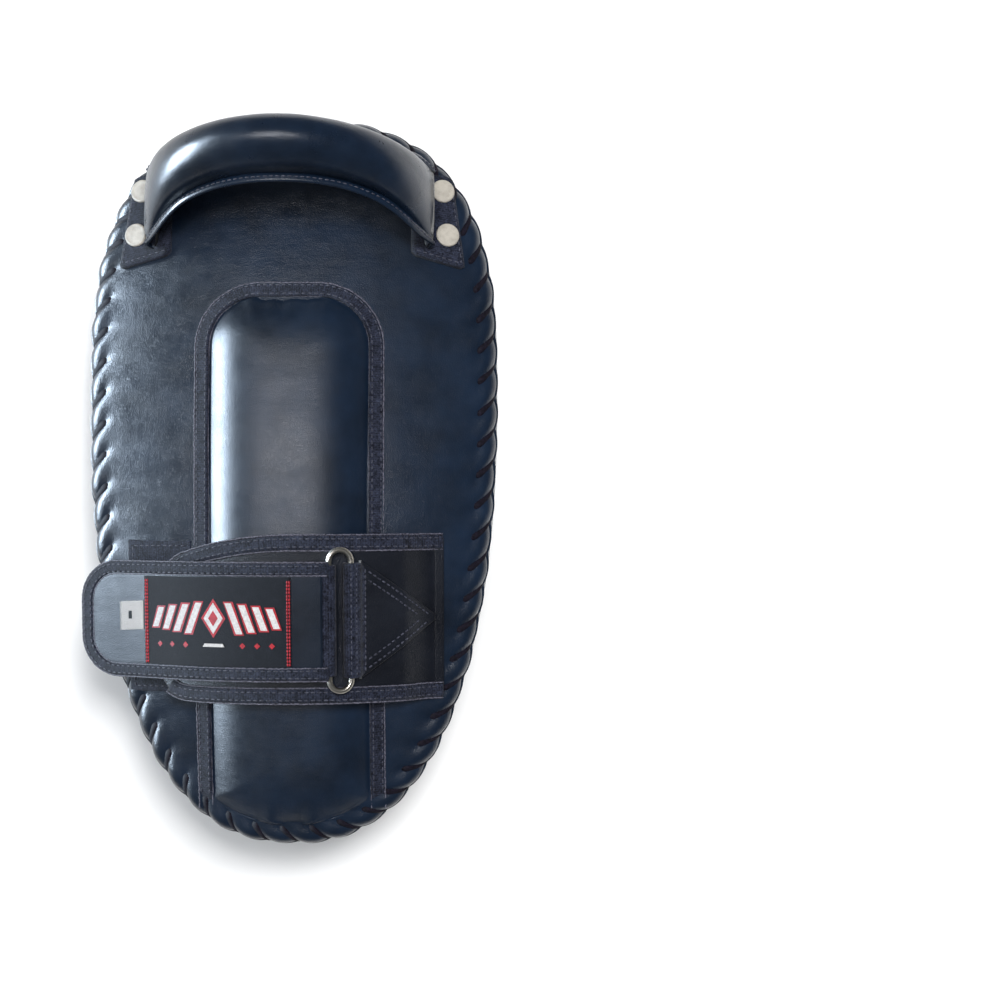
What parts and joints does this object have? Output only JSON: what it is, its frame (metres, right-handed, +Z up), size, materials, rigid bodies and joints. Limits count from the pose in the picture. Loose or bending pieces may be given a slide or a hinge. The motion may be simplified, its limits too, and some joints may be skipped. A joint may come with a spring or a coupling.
{
  "type": "thai pad",
  "caption": "Curved leather kick pad with a laced back, forearm cushion, padded grip handle and hook-and-loop forearm strap.",
  "frame": {"origin": "bottom centre of the box of the pad lying on its striking face", "axes": "+X across the pad, towards the strap's sewn end; +Y along the pad, towards the grip handle; +Z up, out of the back"},
  "size_m": [0.2128, 0.3778, 0.1711],
  "materials": {
    "casing_leather": "semi-gloss black cowhide with fine grain",
    "cushion_leather": "smooth black cowhide, slightly glossier",
    "handle_leather": "glossy smooth black cowhide",
    "strap_leather": "matt black leather",
    "webbing": "black woven webbing tape, slightly fuzzy",
    "lace": "black waxed lace",
    "foam": "closed-cell foam",
    "nickel": "polished nickel plate",
    "pile": "black hook-and-loop pile",
    "label": "black woven label",
    "tab": "white satin ribbon"
  },
  "bodies": {
    "pad": {"striking_face": "casing_leather", "side_wall": "casing_leather", "front_piping": "casing_leather", "foam_front": "foam", "foam_middle": "foam", "foam_rear": "foam", "back_panel": "casing_leather", "edge_lacing": "lace", "cushion_foam": "foam", "cushion_cover": "cushion_leather", "cushion_binding": "webbing", "handle_foot_left": "webbing", "handle_foot_right": "webbing", "handle_rivets": "nickel", "rivet_washers": "nickel", "anchor_patch": "webbing", "flap_root": "strap_leather"},
    "handle": {"handle_strap": "webbing", "handle_foam": "foam", "handle_cover": "handle_leather", "handle_welt": "handle_leather"},
    "strap": {"forearm_flap": "strap_leather", "flap_binding_upper": "webbing", "flap_binding_lower": "webbing", "ring_patch": "strap_leather", "ring_loop": "webbing", "closure_run": "webbing", "loop_pile": "pile"},
    "ring": {"ring": "nickel", "strap_fold": "webbing"},
    "leaf": {"leaf_webbing": "webbing", "leaf_facing": "strap_leather", "leaf_binding": "webbing", "hook_pile": "pile", "label_patch": "label", "size_tab": "tab"}
  },
  "joints": [
    {"name": "handle_tilt", "type": "hinge", "parent": "pad", "child": "handle", "pos_m": [0, 0.139, 0.09735], "axis": [1, 0, 0], "range_deg": [-10, 20], "stiffness_Nm_per_rad": 2},
    {"name": "strap_raise", "type": "slide", "parent": "pad", "child": "strap", "axis": [0, 0, 1], "range_m": [0, 0.04]},
    {"name": "ring_tilt", "type": "hinge", "parent": "strap", "child": "ring", "pos_m": [0.03186, -0.06919, 0.12815], "axis": [0, 0.9971, 0.0758], "range_deg": [0, 35]},
    {"name": "leaf_peel", "type": "hinge", "parent": "ring", "child": "leaf", "pos_m": [0.02114, -0.06938, 0.13064], "axis": [0, 0.9971, 0.0758], "range_deg": [0, 120]}
  ]
}
